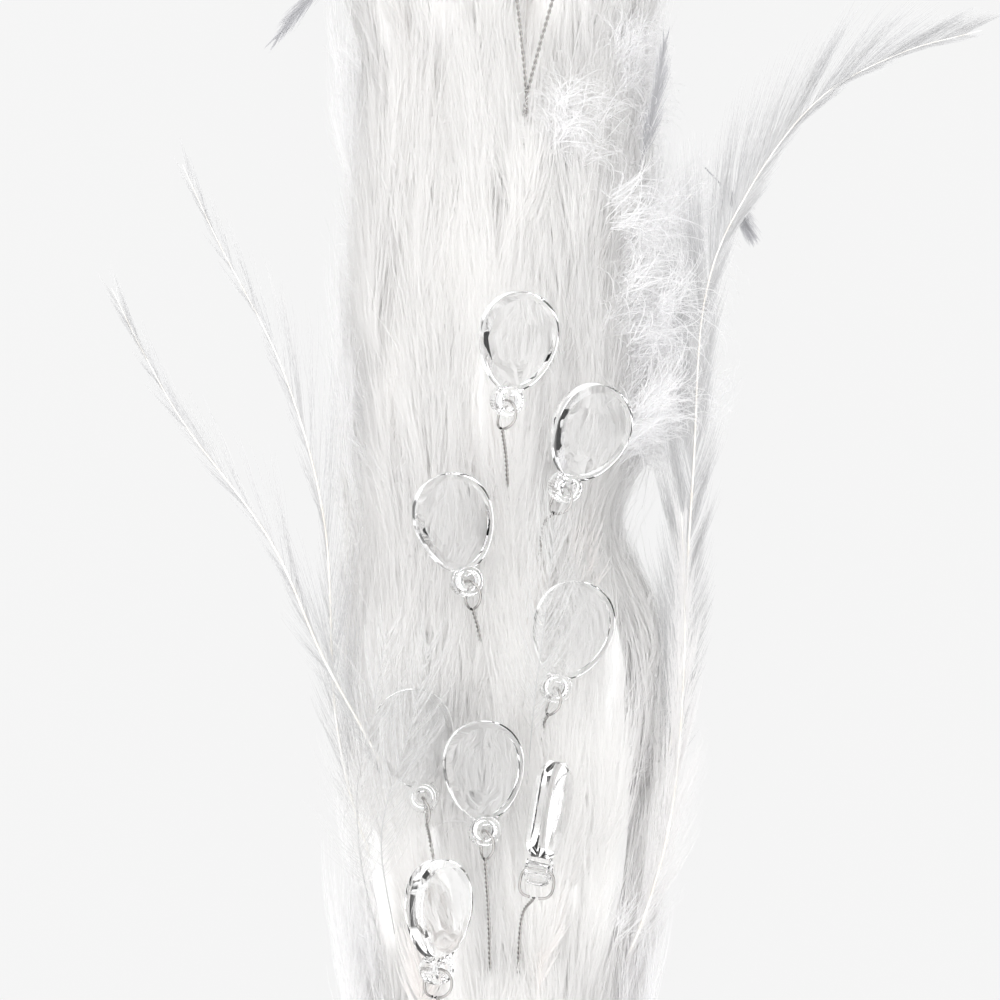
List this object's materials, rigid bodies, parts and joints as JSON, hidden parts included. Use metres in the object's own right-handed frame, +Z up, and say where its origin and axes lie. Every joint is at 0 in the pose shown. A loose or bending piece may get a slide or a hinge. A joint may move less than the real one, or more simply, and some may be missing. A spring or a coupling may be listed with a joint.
{
  "type": "feather boa",
  "caption": "White feather boa of overlapping plume sprays bound along a cord, trimmed with faceted clear drops on twisted wire stems, laid in a long oval.",
  "frame": {"origin": "middle of the laid boa's footprint, on the surface that it lies on", "axes": "+Y along the boa's near straight side from tail to head, +X from the near side towards the far side, +Z up from the surface"},
  "size_m": [0.294, 0.6212, 0.0659],
  "materials": {
    "plume": "soft white plumes with silky barbs",
    "hackle": "ivory hackle feathers with a pale quill",
    "cord": "twisted cotton cord",
    "thread": "wound polyester thread",
    "crystal": "clear faceted glass",
    "wire": "bright silver-coloured craft wire"
  },
  "bodies": {
    "length_1": {"cord_1": "cord", "binding_1": "thread", "plumes_1": "plume", "crystals_1": "crystal", "hackle_tail": "hackle", "knot_tail": "cord"},
    "length_2": {"cord_2": "cord", "binding_2": "thread", "plumes_2": "plume", "crystals_2": "crystal", "hackle_bottom": "hackle"},
    "length_3": {"cord_3": "cord", "binding_3": "thread", "plumes_3": "plume", "crystals_3": "crystal"},
    "length_4": {"cord_4": "cord", "binding_4": "thread", "plumes_4": "plume", "hackle_left_low": "hackle", "hackle_left_high": "hackle", "hackle_right_high": "hackle", "hackle_right_low": "hackle", "stem_drop_1": "wire", "stem_drop_2": "wire", "stem_drop_3": "wire", "stem_drop_4": "wire", "stem_drop_5": "wire", "stem_drop_6": "wire", "stem_drop_7": "wire", "stem_drop_8": "wire"},
    "length_5": {"cord_5": "cord", "binding_5": "thread", "plumes_5": "plume", "crystals_5": "crystal"},
    "length_6": {"cord_6": "cord", "binding_6": "thread", "plumes_6": "plume", "crystals_6": "crystal", "hackle_top": "hackle"},
    "length_7": {"cord_7": "cord", "binding_7": "thread", "plumes_7": "plume", "crystals_7": "crystal"},
    "length_8": {"cord_8": "cord", "binding_8": "thread", "plumes_8": "plume", "crystals_8": "crystal", "knot_head": "cord"},
    "drop_1": {"crystal_drop_1": "crystal"},
    "drop_2": {"crystal_drop_2": "crystal"},
    "drop_3": {"crystal_drop_3": "crystal"},
    "drop_4": {"crystal_drop_4": "crystal"},
    "drop_5": {"crystal_drop_5": "crystal"},
    "drop_6": {"crystal_drop_6": "crystal"},
    "drop_7": {"crystal_drop_7": "crystal"},
    "drop_8": {"crystal_drop_8": "crystal"}
  },
  "joints": [
    {"name": "spine_bend_3_4", "type": "hinge", "parent": "length_4", "child": "length_3", "pos_m": [-0.08053, -0.10054, 0.024], "axis": [0, 0, -1], "range_deg": [-3, 45]},
    {"name": "spine_bend_2_3", "type": "hinge", "parent": "length_3", "child": "length_2", "pos_m": [-0.0387, -0.23689, 0.024], "axis": [0, 0, -1], "range_deg": [-3, 45]},
    {"name": "spine_bend_1_2", "type": "hinge", "parent": "length_2", "child": "length_1", "pos_m": [0.0965, -0.21932, 0.024], "axis": [0, 0, -1], "range_deg": [-3, 45]},
    {"name": "spine_bend_4_5", "type": "hinge", "parent": "length_4", "child": "length_5", "pos_m": [-0.08053, 0.04945, 0.024], "axis": [0, 0, 1], "range_deg": [-3, 45]},
    {"name": "spine_bend_5_6", "type": "hinge", "parent": "length_5", "child": "length_6", "pos_m": [-0.06876, 0.19752, 0.024], "axis": [0, 0, 1], "range_deg": [-3, 45]},
    {"name": "spine_bend_6_7", "type": "hinge", "parent": "length_6", "child": "length_7", "pos_m": [0.06018, 0.2418, 0.024], "axis": [0, 0, 1], "range_deg": [-3, 45]},
    {"name": "spine_bend_7_8", "type": "hinge", "parent": "length_7", "child": "length_8", "pos_m": [0.11947, 0.11561, 0.024], "axis": [0, 0, 1], "range_deg": [-3, 45]},
    {"name": "drop_1_swing", "type": "hinge", "parent": "length_4", "child": "drop_1", "pos_m": [-0.07933, 0.01415, 0.061], "axis": [-0.0687, 0.0121, 0.9976], "range_deg": [-20, 20]},
    {"name": "drop_2_swing", "type": "hinge", "parent": "length_4", "child": "drop_2", "pos_m": [-0.06953, -0.00034, 0.056], "axis": [0.1271, -0.0566, 0.9903], "range_deg": [-20, 10]},
    {"name": "drop_3_swing", "type": "hinge", "parent": "length_4", "child": "drop_3", "pos_m": [-0.08613, -0.01614, 0.0572], "axis": [-0.1022, -0.0217, 0.9945], "range_deg": [-18, 18]},
    {"name": "drop_4_swing", "type": "hinge", "parent": "length_4", "child": "drop_4", "pos_m": [-0.07113, -0.03404, 0.0562], "axis": [0.1005, -0.0288, 0.9945], "range_deg": [-18, 14]},
    {"name": "drop_5_swing", "type": "hinge", "parent": "length_4", "child": "drop_5", "pos_m": [-0.08313, -0.05785, 0.0618], "axis": [-0.0523, -0.0009, 0.9986], "range_deg": [-1, 18]},
    {"name": "drop_6_swing", "type": "hinge", "parent": "length_4", "child": "drop_6", "pos_m": [-0.07403, -0.06455, 0.0592], "axis": [-0.9752, 0.172, 0.1392], "range_deg": [-25, 3]},
    {"name": "drop_7_swing", "type": "hinge", "parent": "length_4", "child": "drop_7", "pos_m": [-0.09123, -0.08155, 0.054], "axis": [-0.0871, 0.003, 0.9962], "range_deg": [-5, 15]},
    {"name": "drop_8_swing", "type": "hinge", "parent": "length_4", "child": "drop_8", "pos_m": [-0.09353, -0.05255, 0.0555], "axis": [-0.0518, -0.0073, 0.9986], "range_deg": [-12, 18]}
  ]
}
